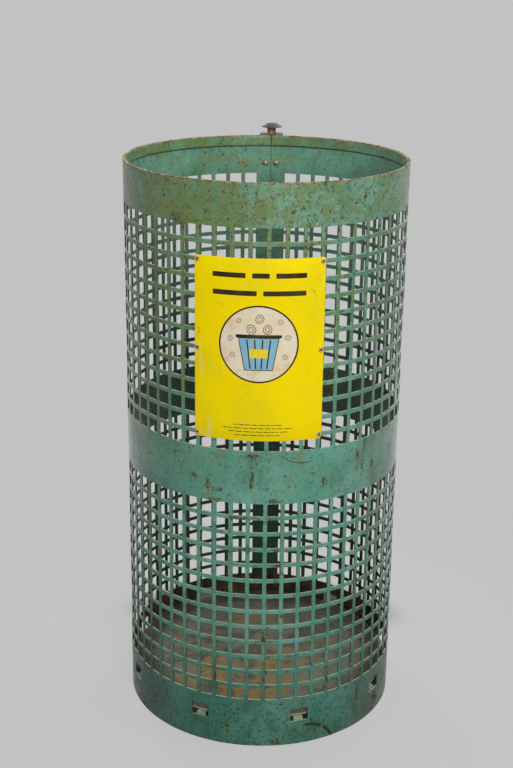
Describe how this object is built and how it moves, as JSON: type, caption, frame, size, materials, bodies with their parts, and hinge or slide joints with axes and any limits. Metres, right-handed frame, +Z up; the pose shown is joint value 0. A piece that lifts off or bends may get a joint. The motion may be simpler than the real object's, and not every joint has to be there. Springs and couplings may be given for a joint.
{
  "type": "litter bin",
  "caption": "Tall round litter basket of rolled square-hole sheet steel, open at the top, with a loose floor plate on bent tongues, a riveted sign and a headed stud at the rim.",
  "frame": {"origin": "on the ground, in the middle of the footprint box, which is 13.6 mm behind the drum's own axis because the stud stands out at the back", "axes": "+Z up; -Y is the front, where the sign is; the drum's butt seam, bracket and stud are on +Y"},
  "size_m": [0.4252, 0.455, 0.8914],
  "materials": {
    "drum_paint": "satin",
    "hoop_paint": "satin",
    "floor_rust": "matte",
    "sign_enamel": "gloss",
    "rivet_alloy": "satin",
    "stem_steel": "matte",
    "worn_rivet": "satin",
    "rusty_stud": "matte"
  },
  "bodies": {
    "basket": {"body_shell": "drum_paint", "rim_hoop_long": "hoop_paint", "rim_hoop_short": "hoop_paint", "sign_plate": "sign_enamel", "sign_rivet_low_left": "rivet_alloy", "sign_rivet_mid_left": "rivet_alloy", "sign_rivet_top_left": "rivet_alloy", "sign_rivet_low_right": "rivet_alloy", "sign_rivet_mid_right": "rivet_alloy", "sign_rivet_top_right": "rivet_alloy", "sign_rivet_stem_low_left": "stem_steel", "sign_rivet_stem_mid_left": "stem_steel", "sign_rivet_stem_top_left": "stem_steel", "sign_rivet_stem_low_right": "stem_steel", "sign_rivet_stem_mid_right": "stem_steel", "sign_rivet_stem_top_right": "stem_steel", "stud_bracket": "drum_paint", "bracket_rivet_left": "worn_rivet", "bracket_rivet_right": "worn_rivet", "lid_stud": "rusty_stud", "stud_lock_washer": "rusty_stud", "stud_nut": "rusty_stud"},
    "floor": {"floor_plate": "floor_rust"}
  },
  "joints": [
    {"name": "floor_lift", "type": "slide", "parent": "basket", "child": "floor", "axis": [0, 0, 1], "range_m": [0, 0.85]}
  ]
}
